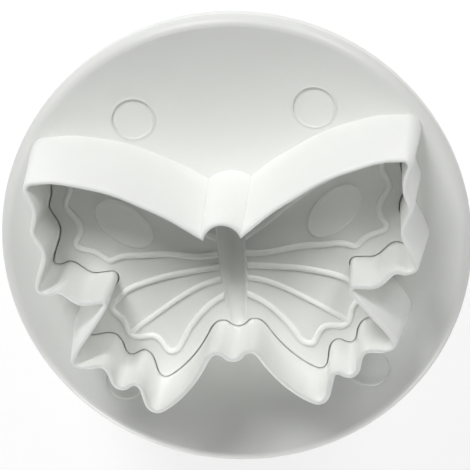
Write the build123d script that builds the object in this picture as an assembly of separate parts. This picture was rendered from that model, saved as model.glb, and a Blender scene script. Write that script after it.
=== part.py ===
from build123d import *
import math
import os

os.makedirs("parts", exist_ok=True)

# Butterfly plunger cutter, standing on its knob with the cutting edge up.
# The origin is the centre of the knob's flat end. +Z runs along the plunger to the
# cutting edge, +Y to the butterfly's head and +X to its right wing. Millimetres.

# Cutting wall: its inner face is upright and its outer face has a draft
half_span = 29.2
wall_height = 21.2
rim_thickness = 0.72
rim_bevel = 0.3
wall_draft = 4.9
least_round = 0.25
least_step = 0.5

# Flange: a shallow dish with a rolled lip
flange_radius = 38.5
flange_thickness = 2.0
dish_rise = 2.96
lip_radius = 1.8
lip_depth = 3.5
skirt_thickness = 1.6
mark_radius = 3.3
mark_depth = 0.2
mark_ring_width = 0.3
mark_ring_height = 0.12

# Plunger
travel = 13.5
plate_recess = 13.05
plate_thickness = 2.0
plate_skirt_depth = 4.0
plate_clearance = 0.2
hub_radius = 7.0
stem_radius = 4.5
stem_tip_radius = 4.0
stem_tip_length = 2.2
guide_clearance = 0.06
socket_clearance = 0.02

# Relief on the plate's face
rib_radius = 0.5
vein_radius = 0.45
rib_lift = 0.05
pad_half_length = 5.35
pad_half_width = 3.05
pad_turn = 42
pad_height = 0.45
pad_bevel = 0.2
groove_depth = 1.1
bead_radius = 0.18

# Barrel and spring
barrel_length = 12.0
barrel_radius = 9.2
spring_wire = 1.2
spring_radius = 6.1
spring_turns = 9
spring_end_gap = 0.45
spring_side_clearance = 0.5

# Knob, its screw and its cap
knob_radius = 15.0
knob_thickness = 10.0
knob_edge_height = 6.0
knob_end_round = 1.5
knob_edge_round = 1.2
collar_radius = 9.2
spring_seat_depth = 2.6
press_gap = 0.3
cap_radius = 5.0
cap_thickness = 1.2
cap_sink = 0.2
head_radius = 2.8
head_height = 1.8
head_space = 2.1
screw_radius = 1.45
screw_length = 12.0
screw_clearance = 0.1
head_slot_width = 0.8
head_slot_length = 3.6
head_slot_depth = 1.0
web_thickness = 1.5

overrun = 1.0

# Heights that follow from the sizes above
web_low = cap_sink + cap_thickness + head_space
stem_foot = web_low + web_thickness
spring_low = knob_thickness - spring_seat_depth
barrel_low = knob_thickness + travel + press_gap
flange_low = barrel_low + barrel_length
floor_high = flange_low + flange_thickness
rim_high = floor_high + wall_height
plate_high = rim_high - plate_recess
plate_low = plate_high - plate_skirt_depth
sheet_low = plate_high - plate_thickness
hub_low = sheet_low - stem_tip_length
spring_bore = spring_radius + spring_wire / 2 + spring_side_clearance

# The dish is a cap of a large sphere, flat in the middle and steeper outwards
dish_edge = flange_radius - lip_radius
dish_sphere = (dish_edge**2 + dish_rise**2) / (2 * dish_rise)
draft_flare = wall_height * math.tan(math.radians(wall_draft))

# Right half of the cutting edge's inner outline, from the head down to the tail, in
# shares of the half span. Corners lie between the runs; a run itself is smooth.
head_centre_share = 0.2455
head_radius_share = 0.1005
leading_shares = [
    (0.0976, 0.2688),
    (0.1986, 0.3425),
    (0.2808, 0.4007),
    (0.3853, 0.4589),
    (0.5240, 0.5325),
    (0.6062, 0.5651),
    (0.7603, 0.6079),
    (0.8664, 0.6284),
    (0.9555, 0.6301),
    (1.0000, 0.6267),
]
side_shares = [
    (1.0000, 0.6267),
    (0.9726, 0.5616),
    (0.9521, 0.4760),
    (0.9623, 0.4212),
    (0.9760, 0.3699),
    (0.9521, 0.3116),
    (0.9298, 0.2397),
    (0.9521, 0.1610),
    (0.9760, 0.1062),
    (0.9966, 0.0411),
]
lower_shares = [
    (0.9966, 0.0411),
    (0.9623, 0.0308),
    (0.9349, 0.0342),
    (0.8973, 0.0445),
    (0.8630, 0.0325),
    (0.8288, 0.0034),
    (0.7945, -0.0223),
    (0.7534, -0.0325),
    (0.7123, -0.0291),
    (0.6600, -0.0240),
    (0.6045, -0.0223),
]
hind_shares = [
    (0.6045, -0.0223),
    (0.6610, -0.0993),
    (0.6986, -0.1507),
    (0.7568, -0.2277),
    (0.8185, -0.3082),
    (0.8630, -0.3853),
]
tail_shares = [
    (0.8630, -0.3853),
    (0.8253, -0.3973),
    (0.7877, -0.3955),
    (0.7295, -0.3904),
    (0.6952, -0.3990),
    (0.6712, -0.4247),
    (0.6558, -0.4623),
    (0.6455, -0.5034),
    (0.6164, -0.5274),
    (0.5822, -0.5188),
    (0.5479, -0.5051),
    (0.5137, -0.5205),
    (0.4932, -0.5616),
    (0.4846, -0.6096),
    (0.4692, -0.6541),
    (0.4418, -0.6729),
    (0.3938, -0.6575),
    (0.3322, -0.6147),
    (0.2740, -0.5616),
    (0.2158, -0.4932),
    (0.1678, -0.4212),
    (0.1404, -0.3801),
    (0.1130, -0.3596),
    (0.0908, -0.3545),
    (0.0616, -0.3613),
    (0.0342, -0.3853),
    (0.0000, -0.3990),
]

# Rounds between the runs; below zero where the outline turns in between the wings
corner_round_shares = (0.027, 0.022, -0.034, 0.02)
corner_flare_share = 0.45

# Ribs on the right half of the plate, in shares of the half span, each from the body out
upper_rib_shares = [
    (0.0753, 0.0377),
    (0.2329, 0.0360),
    (0.3775, 0.0569),
    (0.5205, 0.0582),
    (0.6267, 0.0531),
    (0.6747, 0.0397),
    (0.7101, 0.0646),
    (0.7666, 0.1011),
    (0.8205, 0.1162),
    (0.8463, 0.1319),
    (0.8510, 0.1575),
    (0.8346, 0.1830),
    (0.8151, 0.2363),
    (0.8215, 0.2677),
    (0.8484, 0.3109),
    (0.8791, 0.3592),
    (0.8645, 0.4243),
    (0.8480, 0.4770),
    (0.8527, 0.4983),
    (0.8440, 0.5185),
    (0.8240, 0.5265),
    (0.8000, 0.5190),
    (0.7574, 0.5023),
    (0.6054, 0.4532),
    (0.4552, 0.3793),
    (0.3039, 0.2797),
    (0.1813, 0.1917),
    (0.0753, 0.1259),
]
lower_rib_shares = [
    (0.0753, -0.0342),
    (0.2329, -0.0516),
    (0.3813, -0.0738),
    (0.5056, -0.1058),
    (0.6130, -0.1507),
    (0.6610, -0.1918),
    (0.6925, -0.2330),
    (0.6925, -0.2500),
    (0.6630, -0.2844),
    (0.6343, -0.3218),
    (0.6133, -0.3941),
    (0.5822, -0.4178),
    (0.5394, -0.4195),
    (0.4757, -0.4212),
    (0.4303, -0.4732),
    (0.4010, -0.5140),
    (0.3660, -0.5110),
    (0.3149, -0.4481),
    (0.2430, -0.3453),
    (0.1556, -0.2590),
    (0.0548, -0.1986),
]
vein_rib_shares = [
    (0.0685, -0.1062),
    (0.1779, -0.1347),
    (0.3086, -0.2002),
    (0.4337, -0.2785),
    (0.5275, -0.3402),
    (0.6130, -0.4010),
]
pad_centre_share = (0.5747, 0.2462)

# Body groove: where it is measured along Y, its half width there, and its share of the
# full depth, which fades out towards the tail
groove_shares = [
    (0.42, 0.0600, 1.0),
    (0.25, 0.0660, 1.0),
    (0.12, 0.0726, 1.0),
    (0.00, 0.0709, 1.0),
    (-0.137, 0.0644, 0.9),
    (-0.24, 0.0524, 0.7),
    (-0.34, 0.0420, 0.45),
    (-0.45, 0.0300, 0.2),
]

# Ejector-pin marks on the flange, right half, in shares of the flange radius
mark_shares = [(0.377, 0.584), (0.532, -0.583)]


def sized(shares, size):
    return [Vector(x * size, y * size) for x, y in shares]


def outward(points, reach):
    """Unit normals on the outer side of a run, from neighbours up to reach places away."""
    last = len(points) - 1
    normals = []
    for i in range(last + 1):
        way = points[min(i + reach, last)] - points[max(i - reach, 0)]
        normals.append(Vector(-way.Y, way.X).normalized())
    return normals


def spread(points, normals):
    """Drops the inner points that moving has brought too close together or out of order."""
    kept = [points[0]]
    for point, normal in zip(points[1:-1], normals[1:-1]):
        way = Vector(normal.Y, -normal.X)
        if (point - kept[-1]).dot(way) > least_step and (points[-1] - point).length > least_step:
            kept.append(point)
    return kept + [points[-1]]


def mitre(first, second):
    return (first + second) * (1 / (1 + first.dot(second)))


def moved_runs(runs, offset, flare):
    """The runs moved outwards: offset is square to the edge, flare follows its broad course."""
    across = [Vector(-p.X, p.Y) for p in runs[-1][-2:-5:-1]]
    whole = runs[:-1] + [runs[-1] + across]
    close = [outward(run, 1) for run in whole]
    broad = [outward(run, 3) for run in whole]
    moved = []
    for run, near, far in zip(runs, close, broad):
        places = [p + n * offset + f * flare for p, n, f in zip(run, near, far)]
        moved.append(spread(places, near))
    for i in range(1, len(runs)):
        corner = runs[i][0] + mitre(close[i - 1][-1], close[i][0]) * offset
        corner += mitre(broad[i - 1][-1], broad[i][0]) * flare
        moved[i - 1][-1] = corner
        moved[i][0] = corner
    return moved


def half_turn(way_in, way_out):
    return math.acos(way_in.dot(way_out)) / 2


def rounded(before, after, way_in, way_out, radius):
    """Trims two runs at their shared corner. Also gives the arc between them and its end ways."""
    corner = before[-1]
    clear = radius * math.tan(half_turn(way_in, way_out)) + radius / 2
    before = [p for p in before[:-1] if (corner - p).dot(way_in) > clear]
    after = [p for p in after[1:] if (p - corner).dot(way_out) > clear]
    way_in = (corner - before[-1]).normalized()
    way_out = (after[0] - corner).normalized()
    half = half_turn(way_in, way_out)
    cut = radius * math.tan(half)
    inwards = (way_out - way_in).normalized()
    middle = corner + inwards * (radius / math.cos(half) - radius)
    start = corner - way_in * cut
    end = corner + way_out * cut
    return before + [start], [end] + after, way_in, way_out, ThreePointArc(start, middle, end)


def outline(offset, flare, height):
    """The butterfly's closed outline at a height, moved outwards from the inner edge."""
    centre = Vector(0, head_centre_share * half_span)
    arch = head_radius_share * half_span + offset + flare
    tables = (leading_shares, side_shares, lower_shares, hind_shares, tail_shares)
    inner = [sized(shares, half_span) for shares in tables]
    runs = moved_runs(inner, offset, flare)

    # The head is a round arch, which meets the leading edge in a notch
    start = runs[0][0]
    way = (runs[0][1] - start).normalized()
    back = (start - centre).dot(way)
    reach = back**2 - (start - centre).length ** 2 + arch**2
    notch = start + way * (math.sqrt(reach) - back)
    runs[0] = [notch] + [p for p in runs[0][1:] if p.X > notch.X + rim_thickness]
    side = ((notch - centre).normalized() + Vector(0, 1)).normalized()
    edges = [ThreePointArc(centre + Vector(0, arch), centre + side * arch, notch)]

    ways = [[(run[1] - run[0]).normalized(), (run[-1] - run[-2]).normalized()] for run in inner]
    ways[-1][1] = Vector(-1, 0)
    arcs = []
    for i, share in enumerate(corner_round_shares):
        radius = max(abs(share * half_span + offset + flare * corner_flare_share), least_round)
        trimmed = rounded(runs[i], runs[i + 1], ways[i][1], ways[i + 1][0], radius)
        runs[i], runs[i + 1], ways[i][1], ways[i + 1][0], arc = trimmed
        arcs.append(arc)
    ways[0][0] = (runs[0][1] - notch).normalized()
    edges.append(Spline(*runs[0], tangents=ways[0], tangent_scalars=(1, 1)))
    for arc, run, way in zip(arcs, runs[1:], ways[1:]):
        edges += [arc, Spline(*run, tangents=way, tangent_scalars=(1, 1))]
    edges += [e.mirror(Plane.YZ) for e in edges]
    return Pos(0, 0, height) * Wire([e.edge() for e in edges])


def prism(offset, low, high):
    return extrude(make_face(outline(offset, 0, low)), high - low, dir=(0, 0, 1))


def cylinder(radius, low, high):
    return Pos(0, 0, low) * Cylinder(radius, high - low, align=(Align.CENTER, Align.CENTER, Align.MIN))


def turned(lines):
    """A solid turned about Z from a closed profile in the XZ plane."""
    return revolve(make_face(Curve() + lines), Axis.Z)


def dish_height(radius):
    return floor_high + dish_sphere - math.sqrt(dish_sphere**2 - radius**2)


def flange():
    edge = dish_height(dish_edge)
    under_sphere = dish_sphere + flange_thickness
    inner = flange_radius - skirt_thickness
    under = floor_high + dish_sphere - math.sqrt(under_sphere**2 - inner**2)
    under_middle = floor_high + dish_sphere - math.sqrt(under_sphere**2 - (inner / 2) ** 2)
    foot = edge - lip_depth
    turn = lip_radius * math.sqrt(0.5)
    top = ThreePointArc(
        (0, 0, floor_high), (dish_edge / 2, 0, dish_height(dish_edge / 2)), (dish_edge, 0, edge)
    )
    roll = ThreePointArc(
        (dish_edge, 0, edge),
        (dish_edge + turn, 0, edge - lip_radius + turn),
        (flange_radius, 0, edge - lip_radius),
    )
    skirt = Polyline(
        (flange_radius, 0, edge - lip_radius), (flange_radius, 0, foot), (inner, 0, foot), (inner, 0, under)
    )
    underside = ThreePointArc((inner, 0, under), (inner / 2, 0, under_middle), (0, 0, flange_low))
    return turned([top, roll, skirt, underside, Line((0, 0, flange_low), (0, 0, floor_high))])


def ejector_marks(disc):
    """Shallow round marks, sunk square to the dish, each in a fine raised ring."""
    sphere_centre = Vector(0, 0, floor_high + dish_sphere)
    for x, y in mark_shares:
        for side in (-1, 1):
            place = Vector(side * x * flange_radius, y * flange_radius)
            place += Vector(0, 0, dish_height(place.length))
            seat = Plane(origin=place, z_dir=sphere_centre - place)
            ring = Cylinder(mark_radius + mark_ring_width, 2 * mark_ring_height)
            sink = Pos(0, 0, -mark_depth) * Cylinder(
                mark_radius, overrun, align=(Align.CENTER, Align.CENTER, Align.MIN)
            )
            disc = disc + seat.location * ring - seat.location * sink
    return disc


def cutting_wall():
    """Upright inside, drafted outside, with a bevelled cutting edge."""
    bevel_low = rim_high - rim_bevel
    low = outline(rim_thickness, draft_flare, floor_high)
    high = outline(rim_thickness, 0, bevel_low)
    edge = outline(rim_thickness - rim_bevel, 0, rim_high)
    body = Solid.make_loft([low, high], ruled=True) + Solid.make_loft([high, edge], ruled=True)
    body -= prism(0, floor_high - overrun, rim_high + overrun)
    above_dish = Pos(0, 0, floor_high + dish_sphere) * Sphere(dish_sphere + flange_thickness / 2)
    return body & above_dish


def cutter_body():
    """The wall and flange with the barrel below. The hub at rest sits on the guide boss."""
    body = ejector_marks(flange()) + cutting_wall()
    body += cylinder(barrel_radius, barrel_low, floor_high)
    body += cylinder(hub_radius, flange_low, hub_low)
    body -= cylinder(spring_bore, barrel_low - overrun, flange_low)
    body -= cylinder(stem_radius + guide_clearance, barrel_low, hub_low + overrun)
    return body


def rod(shares, height, radius):
    """A round rod that lies level along a smooth path."""
    path = Spline(*[p + Vector(0, 0, height) for p in sized(shares, half_span)])
    section = Plane(origin=path @ 0, x_dir=(0, 0, -1), z_dir=path % 0) * Circle(radius)
    return sweep(section, path=path)


def wing_pockets(low, high):
    """Hollows under the wings, within the same loops as the ribs on their face."""
    pockets = []
    for shares in (upper_rib_shares, lower_rib_shares):
        points = [p + Vector(0, 0, low) for p in sized(shares, half_span)]
        loop = Wire([Spline(*points).edge(), Line(points[-1], points[0]).edge()])
        pockets.append(extrude(make_face(loop), high - low, dir=(0, 0, 1)))
    return pockets


def oval_pad():
    """A low raised oval on the upper wing, bevelled round its top."""
    x, y = (share * half_span for share in pad_centre_share)
    foot = Ellipse(pad_half_length, pad_half_width)
    top = Ellipse(pad_half_length - pad_bevel, pad_half_width - pad_bevel)
    levels = [
        Pos(0, 0, -pad_height) * foot,
        Pos(0, 0, pad_height - pad_bevel) * foot,
        Pos(0, 0, pad_height) * top,
    ]
    return Pos(x, y, plate_high) * Rot(0, 0, pad_turn) * loft(levels, ruled=True)


def body_groove():
    """A tapered hollow, round in section and open at the head and the tail."""
    sections = []
    for along, half, share in groove_shares:
        half_width = half * half_span
        depth = share * groove_depth
        radius = (half_width**2 + depth**2) / (2 * depth)
        place = Vector(0, along * half_span, plate_high + radius - depth)
        sections.append(Plane(origin=place, z_dir=(0, -1, 0)) * Circle(radius))
    return loft(sections)


def plate_half():
    """The right half of the plate, with its pockets and the relief on its face."""
    half = split(prism(-plate_clearance, plate_low, plate_high), bisect_by=Plane.YZ)
    half -= wing_pockets(plate_low, sheet_low)
    half += rod(upper_rib_shares, plate_high + rib_lift, rib_radius)
    half += rod(lower_rib_shares, plate_high + rib_lift, rib_radius)
    half += rod(vein_rib_shares, plate_high + rib_lift, vein_radius)
    half -= body_groove()

    # A fine bead along the groove's edge
    edge_shares = [(half_width, along) for along, half_width, depth in groove_shares[1:-1]]
    half += rod(edge_shares, plate_high, bead_radius)
    return half + oval_pad()


def embossing_plate():
    half = plate_half()
    plate = half + mirror(half, about=Plane.YZ)
    plate += cylinder(hub_radius, hub_low, sheet_low)
    plate -= cylinder(stem_tip_radius + socket_clearance, hub_low, sheet_low)
    return plate


def plunger_stem():
    stem = cylinder(stem_radius, stem_foot, hub_low)
    stem += cylinder(stem_tip_radius, hub_low, sheet_low)
    pilot = cylinder(screw_radius, stem_foot, web_low + screw_length + overrun)
    return stem - pilot


def push_knob():
    inset = knob_edge_round * (1 - math.sqrt(0.5))
    shoulder = ThreePointArc(
        (knob_radius, 0, knob_edge_height - knob_edge_round),
        (knob_radius - inset, 0, knob_edge_height - inset),
        (knob_radius - knob_edge_round, 0, knob_edge_height),
    )
    profile = Polyline(
        (knob_radius - knob_edge_round, 0, knob_edge_height),
        (collar_radius, 0, knob_thickness),
        (0, 0, knob_thickness),
        (0, 0, 0),
        (knob_radius - knob_end_round, 0, 0),
    )
    end_turn = knob_end_round * math.sqrt(0.5)
    end_round = ThreePointArc(
        (knob_radius - knob_end_round, 0, 0),
        (knob_radius - knob_end_round + end_turn, 0, knob_end_round - end_turn),
        (knob_radius, 0, knob_end_round),
    )
    edge = Line((knob_radius, 0, knob_end_round), (knob_radius, 0, knob_edge_height - knob_edge_round))
    knob = turned([shoulder, profile, end_round, edge])
    knob -= cylinder(spring_bore, spring_low, knob_thickness + overrun)
    knob -= cylinder(stem_radius + socket_clearance, stem_foot, knob_thickness)
    knob -= cylinder(screw_radius + screw_clearance, web_low - overrun, stem_foot + overrun)
    knob -= cylinder(head_radius + screw_clearance, cap_sink, web_low)
    knob -= cylinder(cap_radius + socket_clearance, -overrun, cap_sink + cap_thickness)
    return knob


def knob_screw():
    screw = cylinder(head_radius, web_low - head_height, web_low)
    screw += cylinder(screw_radius, web_low, web_low + screw_length)
    slot_middle = web_low - head_height + head_slot_depth / 2
    slot = Pos(0, 0, slot_middle) * Box(head_slot_length, head_slot_width, head_slot_depth)
    return screw - slot - Rot(0, 0, 90) * slot


def knob_cap():
    return cylinder(cap_radius, cap_sink, cap_sink + cap_thickness)


def spring_height(turn):
    """Height of the wire's centre after a number of turns: the end turns lie closer."""
    low = spring_low + spring_wire / 2
    high = flange_low - spring_wire / 2
    end_pitch = spring_wire + spring_end_gap
    pitch = (high - low - 2 * end_pitch) / (spring_turns - 2)
    middle = min(max(turn - 1, 0), spring_turns - 2)
    return low + end_pitch * (turn - middle) + pitch * middle


def spring_point(turn):
    angle = 2 * math.pi * turn
    return Vector(spring_radius * math.cos(angle), spring_radius * math.sin(angle), spring_height(turn))


def spring_way(turn):
    """Direction of the wire after a number of turns: level at both ends."""
    low = max(turn - 1 / 8, 0)
    high = min(turn + 1 / 8, spring_turns)
    climb = (spring_height(high) - spring_height(low)) / (high - low) / (2 * math.pi)
    if turn in (0, spring_turns):
        climb = 0
    angle = 2 * math.pi * turn
    across = Vector(-math.sin(angle), math.cos(angle)) * spring_radius
    return (across + Vector(0, 0, climb)).normalized()


def biarc(start, way_in, end, way_out):
    """Two arcs that leave start along way_in and reach end along way_out."""
    span = end - start
    ways = way_in + way_out
    fold = 2 * (1 - way_in.dot(way_out))
    lean = span.dot(ways)
    reach = (math.sqrt(lean**2 + fold * span.dot(span)) - lean) / fold
    joint = (start + way_in * reach + end - way_out * reach) * 0.5
    first = Edge.make_tangent_arc(start, way_in, joint)
    return [first, Edge.make_tangent_arc(joint, first % 1, end)]


def spring_path():
    stops = [i / 4 for i in range(4 * spring_turns + 1)]
    start, first_way = spring_point(0), spring_way(0)
    end, last_way = spring_point(spring_turns), spring_way(spring_turns)
    edges = [Edge.make_line(start - first_way * spring_wire, start)]
    for low, high in zip(stops, stops[1:]):
        edges += biarc(spring_point(low), spring_way(low), spring_point(high), spring_way(high))
    edges.append(Edge.make_line(end, end + last_way * spring_wire))
    return Wire(edges)


def return_spring():
    path = spring_path()
    section = Plane(origin=path @ 0, z_dir=path % 0) * Circle(spring_wire / 2)
    return sweep(section, path=path)


def spring_gap():
    """Least gap of the spring to itself, from points along its wire."""
    per_turn = 48
    count = per_turn * spring_turns
    path = spring_path()
    points = [path @ (i / count) for i in range(count + 1)]
    least = math.inf
    for i, p in enumerate(points):
        for q in points[i + per_turn // 2 :]:
            least = min(least, (p - q).length)
    return least - spring_wire


pieces = {
    "cutter_body": cutter_body,
    "embossing_plate": embossing_plate,
    "plunger_stem": plunger_stem,
    "push_knob": push_knob,
    "knob_screw": knob_screw,
    "knob_cap": knob_cap,
    "return_spring": return_spring,
}

for name, make in pieces.items():
    export_step(make(), f"parts/{name}.step")

print("spring gap to itself", round(spring_gap(), 3))
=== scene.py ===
"""Butterfly plunger cutter on a pale studio floor, in metres, in the part's frame."""

import math

import bpy
from mathutils import Euler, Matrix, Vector

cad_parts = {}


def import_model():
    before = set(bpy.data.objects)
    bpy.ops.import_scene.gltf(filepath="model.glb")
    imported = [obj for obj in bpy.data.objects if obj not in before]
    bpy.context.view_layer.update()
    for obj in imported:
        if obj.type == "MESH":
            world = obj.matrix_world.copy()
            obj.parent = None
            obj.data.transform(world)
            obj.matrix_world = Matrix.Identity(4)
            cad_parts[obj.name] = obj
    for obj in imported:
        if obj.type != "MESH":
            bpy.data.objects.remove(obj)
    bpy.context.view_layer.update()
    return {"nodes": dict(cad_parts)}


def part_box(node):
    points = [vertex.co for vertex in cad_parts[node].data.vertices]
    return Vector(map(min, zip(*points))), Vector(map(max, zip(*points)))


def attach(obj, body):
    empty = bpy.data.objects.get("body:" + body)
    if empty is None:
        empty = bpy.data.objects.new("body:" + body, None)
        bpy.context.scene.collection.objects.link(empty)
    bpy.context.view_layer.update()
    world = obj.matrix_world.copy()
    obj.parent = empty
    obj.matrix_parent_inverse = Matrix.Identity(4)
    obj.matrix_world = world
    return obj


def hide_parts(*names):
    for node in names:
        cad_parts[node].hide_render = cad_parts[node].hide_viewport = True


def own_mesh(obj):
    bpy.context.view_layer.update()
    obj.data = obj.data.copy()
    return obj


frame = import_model()
nodes = frame["nodes"]

# Camera: above the head side, a little to the right, turned with the picture
camera_place = (0.029105, 0.096252, 0.321115)
camera_turn_deg = (-20.008, 2.794, -4.582)
camera_lens_mm = 140.20
camera_sensor_mm = 36.0
camera_shift = (-0.1, 0.08)
camera_near = 0.01

# Lamps: each has a place, a size and a power in watts, and all of them face one point
aim = Vector((0, 0, 0.05))
lamps = {
    "key_left": {"place": (-0.19, 0.72, 0.67), "size": 0.30, "power": 4.75},
    "key_right": {"place": (0.41, 0.67, 0.64), "size": 0.30, "power": 2.45},
    "side_left": {"place": (-0.60, 0.35, 0.25), "size": 0.30, "power": 0.80},
    "side_right": {"place": (0.60, 0.35, 0.25), "size": 0.30, "power": 0.24},
    "low_left": {"place": (-0.35, -0.50, 0.10), "size": 0.25, "power": 1.35},
    "low_right": {"place": (0.35, -0.50, 0.10), "size": 0.25, "power": 1.15},
    "front": {"place": (-0.10, -0.50, 0.25), "size": 0.40, "power": 0.75},
}
world_strength = 0.02

# Floor: to the camera it brightens to white between two distances from its middle
floor_half = 3.0
floor_gap = 0.00005
floor_fade = (0.15, 0.80)
floor_glow = 0.72
floor_albedo = 0.40
floor_bounce_albedo = 0.80

# Finishes: clouds of two colours and two roughnesses, a fine grain and soft edges. A tone is
# painted light: painted shade makes one part of a surface darker, a painted highlight paler.
cloud_scale = 60.0
cloud_detail = 3.0
grain_detail = 2.0
body_look = {
    "colours": ((0.91, 0.92, 0.895), (0.94, 0.95, 0.925)),
    "roughness": (0.32, 0.42),
    "edge_round": 0.00035,
    # painted shade: the flange's low faces that look up are darkened to this share
    "painted_light_factor": 0.88,
}
plate_look = {
    "colours": ((0.82, 0.83, 0.805), (0.85, 0.86, 0.835)),
    "roughness": (0.42, 0.55),
    "edge_round": 0.00004,
    # painted highlight: the ribs, the pads' edges and half the pads' tops are lightened by
    # this share
    "painted_light_factor": 1.13,
}
steel_look = {
    "colours": ((0.52, 0.53, 0.54), (0.66, 0.67, 0.68)),
    "roughness": (0.22, 0.34),
    "edge_round": 0.0001,
}
plastic_grain = {"scale": 900.0, "strength": 0.15, "depth": 0.00002}
steel_grain = {"scale": 1500.0, "strength": 0.2, "depth": 0.00001}
plastic_ior = 1.49
subsurface_weight = 0.08
subsurface_depth = 0.0015
subsurface_depth_shares = (1.0, 1.0, 0.9)

# Where the painted light comes in: between two depths, below the cutting edge for the flange's
# painted shade and below the ribs' crest for the plate's painted highlight, and between two
# slopes. A slope is the upward part of a face's normal.
cutting_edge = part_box("cutter_body")[1][2]
rib_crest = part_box("embossing_plate")[1][2]
painted_shade_depths = (0.0130, 0.0140)
painted_shade_slopes = (0.10, 0.30)
painted_highlight_depths = (0.00047, 0.00038)
crest_highlight_depths = (0.00016, 0.00004)
flank_highlight_slopes = (0.995, 0.960)


def link(tree, source, target):
    tree.links.new(source, target)


def node(tree, kind, **values):
    """A new node, with the values set on its inputs and options."""
    made = tree.nodes.new(kind)
    for name, value in values.items():
        if name in made.inputs:
            made.inputs[name].default_value = value
        else:
            setattr(made, name, value)
    return made


def ramp(tree, source, span=(0, 1), result=(0, 1)):
    """Goes from the first to the second value of result as source goes along span."""
    made = node(tree, "ShaderNodeMapRange")
    made.inputs["From Min"].default_value, made.inputs["From Max"].default_value = span
    made.inputs["To Min"].default_value, made.inputs["To Max"].default_value = result
    link(tree, source, made.inputs["Value"])
    return made.outputs["Result"]


def joined(tree, operation, first, second):
    made = node(tree, "ShaderNodeMath", operation=operation)
    link(tree, first, made.inputs[0])
    link(tree, second, made.inputs[1])
    return made.outputs[0]


def scaled(tree, colour, factor):
    made = node(tree, "ShaderNodeVectorMath", operation="SCALE")
    link(tree, colour, made.inputs["Vector"])
    link(tree, factor, made.inputs["Scale"])
    return made.outputs["Vector"]


def grey(level):
    return (level, level, level, 1)


def height_and_slope(tree):
    """A point's height in the object, and the upward part of its face's normal."""
    place = node(tree, "ShaderNodeTexCoord")
    height = node(tree, "ShaderNodeSeparateXYZ")
    link(tree, place.outputs["Object"], height.inputs["Vector"])
    face = node(tree, "ShaderNodeNewGeometry")
    slope = node(tree, "ShaderNodeSeparateXYZ")
    link(tree, face.outputs["Normal"], slope.inputs["Vector"])
    return height.outputs["Z"], slope.outputs["Z"]


def below(top, depths):
    return [top - depth for depth in depths]


def flange_painted_shade(tree):
    """1 on the low faces that look up, where painted shade makes the flange darker than the
    wall.
    """
    height, slope = height_and_slope(tree)
    low = ramp(tree, height, below(cutting_edge, painted_shade_depths))
    return joined(tree, "MULTIPLY", low, ramp(tree, slope, painted_shade_slopes))


def relief_painted_highlight(tree):
    """1 on the ribs and the edges of the pads, and a half on the pads' tops. All get a painted
    highlight.
    """
    height, slope = height_and_slope(tree)
    proud = ramp(tree, height, below(rib_crest, painted_highlight_depths))
    crest = ramp(tree, height, below(rib_crest, crest_highlight_depths))
    raised = joined(tree, "MAXIMUM", ramp(tree, slope, flank_highlight_slopes), crest)
    return joined(tree, "MULTIPLY", proud, raised)


def mottled(tree, shader, look, grain, painted_light_part=None):
    """Slow changes of colour and roughness, a fine moulded grain and, on one part, painted
    light.
    """
    place = node(tree, "ShaderNodeTexCoord")
    clouds = node(tree, "ShaderNodeTexNoise", Scale=cloud_scale, Detail=cloud_detail)
    link(tree, place.outputs["Object"], clouds.inputs["Vector"])
    tint = node(tree, "ShaderNodeValToRGB")
    for stop, shade in zip(tint.color_ramp.elements, look["colours"]):
        stop.color = (*shade, 1)
    link(tree, clouds.outputs["Fac"], tint.inputs["Fac"])
    colour = tint.outputs["Color"]
    # painted light: the part's colour is scaled, darker for painted shade, paler for a painted
    # highlight
    if painted_light_part:
        colour = scaled(tree, colour, ramp(tree, painted_light_part(tree), result=(1, look["painted_light_factor"])))
    link(tree, colour, shader.inputs["Base Color"])
    gloss = ramp(tree, clouds.outputs["Fac"], result=look["roughness"])
    link(tree, gloss, shader.inputs["Roughness"])

    fine = node(tree, "ShaderNodeTexNoise", Scale=grain["scale"], Detail=grain_detail)
    link(tree, place.outputs["Object"], fine.inputs["Vector"])
    bump = node(tree, "ShaderNodeBump", Strength=grain["strength"], Distance=grain["depth"])
    link(tree, fine.outputs["Fac"], bump.inputs["Height"])
    edges = node(tree, "ShaderNodeBevel", Radius=look["edge_round"])
    link(tree, edges.outputs["Normal"], bump.inputs["Normal"])
    link(tree, bump.outputs["Normal"], shader.inputs["Normal"])


def new_material(name):
    material = bpy.data.materials.new(name)
    material.use_nodes = True
    tree = material.node_tree
    return material, tree, tree.nodes["Principled BSDF"]


def white_plastic(name, look, painted_light_part):
    material, tree, shader = new_material(name)
    mottled(tree, shader, look, plastic_grain, painted_light_part)
    shader.inputs["Subsurface Weight"].default_value = subsurface_weight
    shader.inputs["Subsurface Radius"].default_value = subsurface_depth_shares
    shader.inputs["Subsurface Scale"].default_value = subsurface_depth
    shader.inputs["IOR"].default_value = plastic_ior
    return material


def steel():
    material, tree, shader = new_material("spring_steel")
    mottled(tree, shader, steel_look, steel_grain)
    shader.inputs["Metallic"].default_value = 1
    return material


def dress(obj, material):
    obj.data.materials.clear()
    obj.data.materials.append(material)


def dress_nodes():
    # painted shade on the body's flange, and a painted highlight on the plate's ribs and pads
    body = white_plastic("white_body", body_look, flange_painted_shade)
    plate = white_plastic("white_plate", plate_look, relief_painted_highlight)
    metal = steel()
    for name in ("cutter_body", "push_knob", "knob_cap"):
        dress(nodes[name], body)
    for name in ("embossing_plate", "plunger_stem"):
        dress(nodes[name], plate)
    for name in ("knob_screw", "return_spring"):
        dress(nodes[name], metal)


def pressing_spring():
    """A copy of the spring with its own mesh, carried by the plunger; the real spring shortens
    towards the knob as the cutter slides down.
    """
    cad = nodes["return_spring"]
    spring = cad.copy()
    spring.data = cad.data.copy()
    spring.name = "coil_spring"
    bpy.context.scene.collection.objects.link(spring)
    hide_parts("return_spring")
    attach(spring, "plunger")
    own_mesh(spring)


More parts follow.
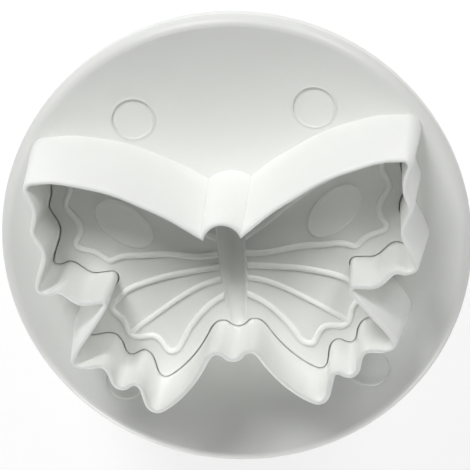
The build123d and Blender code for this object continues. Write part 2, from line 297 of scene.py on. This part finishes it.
def by_camera(tree):
    """1 for rays from the camera, and for those that come off a glossy or clear surface."""
    path = node(tree, "ShaderNodeLightPath")
    seen = path.outputs["Is Camera Ray"]
    for kind in ("Is Glossy Ray", "Is Transmission Ray"):
        seen = joined(tree, "MAXIMUM", seen, path.outputs[kind])
    return seen


def glowing_paper(tree):
    """What the camera sees of the floor: it takes the shadow and turns white far away."""
    lit = node(tree, "ShaderNodeBsdfDiffuse", Color=grey(floor_albedo))
    place = node(tree, "ShaderNodeTexCoord")
    far = node(tree, "ShaderNodeVectorMath", operation="LENGTH")
    link(tree, place.outputs["Object"], far.inputs[0])
    level = ramp(tree, far.outputs["Value"], floor_fade, (floor_glow, 1))
    glow = node(tree, "ShaderNodeEmission", Color=grey(1))
    link(tree, level, glow.inputs["Strength"])
    both = node(tree, "ShaderNodeAddShader")
    link(tree, lit.outputs[0], both.inputs[0])
    link(tree, glow.outputs[0], both.inputs[1])
    return both.outputs[0]


def floor():
    bpy.ops.mesh.primitive_plane_add(size=2 * floor_half, location=(0, 0, -floor_gap))
    plane = bpy.context.object
    plane.name = "floor"
    material = bpy.data.materials.new("floor_paper")
    material.use_nodes = True
    tree = material.node_tree
    tree.nodes.clear()
    bounce = node(tree, "ShaderNodeBsdfDiffuse", Color=grey(floor_bounce_albedo))
    mix = node(tree, "ShaderNodeMixShader")
    link(tree, by_camera(tree), mix.inputs["Fac"])
    link(tree, bounce.outputs[0], mix.inputs[1])
    link(tree, glowing_paper(tree), mix.inputs[2])
    out = node(tree, "ShaderNodeOutputMaterial")
    link(tree, mix.outputs[0], out.inputs["Surface"])
    dress(plane, material)


def world():
    """White to the camera and in reflections, and almost dark as a light."""
    sky = bpy.data.worlds.new("studio")
    bpy.context.scene.world = sky
    sky.use_nodes = True
    tree = sky.node_tree
    tree.nodes.clear()
    back = node(tree, "ShaderNodeBackground", Color=grey(1))
    level = ramp(tree, by_camera(tree), result=(world_strength, 1))
    link(tree, level, back.inputs["Strength"])
    out = node(tree, "ShaderNodeOutputWorld")
    link(tree, back.outputs[0], out.inputs["Surface"])


def light(name, place, size, power):
    data = bpy.data.lights.new(name, "AREA")
    data.shape = "DISK"
    data.size = size
    data.energy = power
    lamp = bpy.data.objects.new(name, data)
    lamp.location = place
    lamp.rotation_euler = (aim - Vector(place)).to_track_quat("-Z", "Y").to_euler()
    bpy.context.scene.collection.objects.link(lamp)


def camera():
    data = bpy.data.cameras.new("camera")
    data.sensor_width = camera_sensor_mm
    data.lens = camera_lens_mm
    data.shift_x, data.shift_y = camera_shift
    data.clip_start = camera_near
    made = bpy.data.objects.new("camera", data)
    made.location = camera_place
    made.rotation_euler = Euler([math.radians(a) for a in camera_turn_deg], "XYZ")
    bpy.context.scene.collection.objects.link(made)
    bpy.context.scene.camera = made


dress_nodes()
pressing_spring()
floor()
world()
for name, lamp in lamps.items():
    light(name, **lamp)
camera()
bpy.context.scene.view_settings.view_transform = "Standard"
